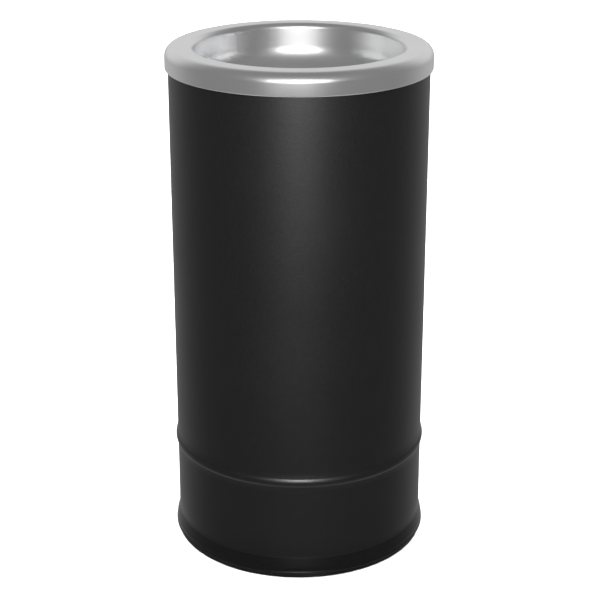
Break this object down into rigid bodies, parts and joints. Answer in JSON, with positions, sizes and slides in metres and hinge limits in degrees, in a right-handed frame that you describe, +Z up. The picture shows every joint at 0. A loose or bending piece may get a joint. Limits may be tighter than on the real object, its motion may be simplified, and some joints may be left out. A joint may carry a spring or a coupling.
{
  "type": "ashtray bin",
  "caption": "Round floor-standing ashtray bin: lift-off spun metal ash pan over a black steel body with a rolled bead, an inner pail with a bail, and a rubber foot ring.",
  "frame": {"origin": "centre of the foot, on the floor", "axes": "+Z up along the body; the bail hinges about an axis parallel to X and is stowed towards -Y"},
  "size_m": [0.259, 0.259, 0.508],
  "materials": {
    "powder_coat": "black powder coat with a fine texture",
    "rubber": "black moulded rubber, slightly shiny",
    "spun_aluminium": "satin spun aluminium with fine concentric lines",
    "galvanised_steel": "galvanised sheet with faint spangle",
    "zinc_wire": "zinc-plated drawn wire",
    "grip_plastic": "black moulded grip"
  },
  "bodies": {
    "stand": {"body_shell": "powder_coat", "edge_trim": "rubber", "base_plate": "powder_coat", "base_ring": "rubber"},
    "pail": {"pail_wall": "galvanised_steel", "pail_rim_wire": "zinc_wire", "pail_bottom": "galvanised_steel", "pail_ear_right": "galvanised_steel", "pail_ear_left": "galvanised_steel", "pail_rivets": "zinc_wire"},
    "pan": {"ash_pan": "spun_aluminium"},
    "bail": {"bail_wire": "zinc_wire", "bail_grip": "grip_plastic"}
  },
  "joints": [
    {"name": "pail_lift", "type": "slide", "parent": "stand", "child": "pail", "axis": [0, 0, 1], "range_m": [0, 0.5]},
    {"name": "pan_lift", "type": "slide", "parent": "pail", "child": "pan", "axis": [0, 0, 1], "range_m": [0, 0.1]},
    {"name": "bail_swing", "type": "hinge", "parent": "pail", "child": "bail", "pos_m": [0, 0, 0.3302], "axis": [-1, 0, 0], "range_deg": [0, 180]}
  ]
}
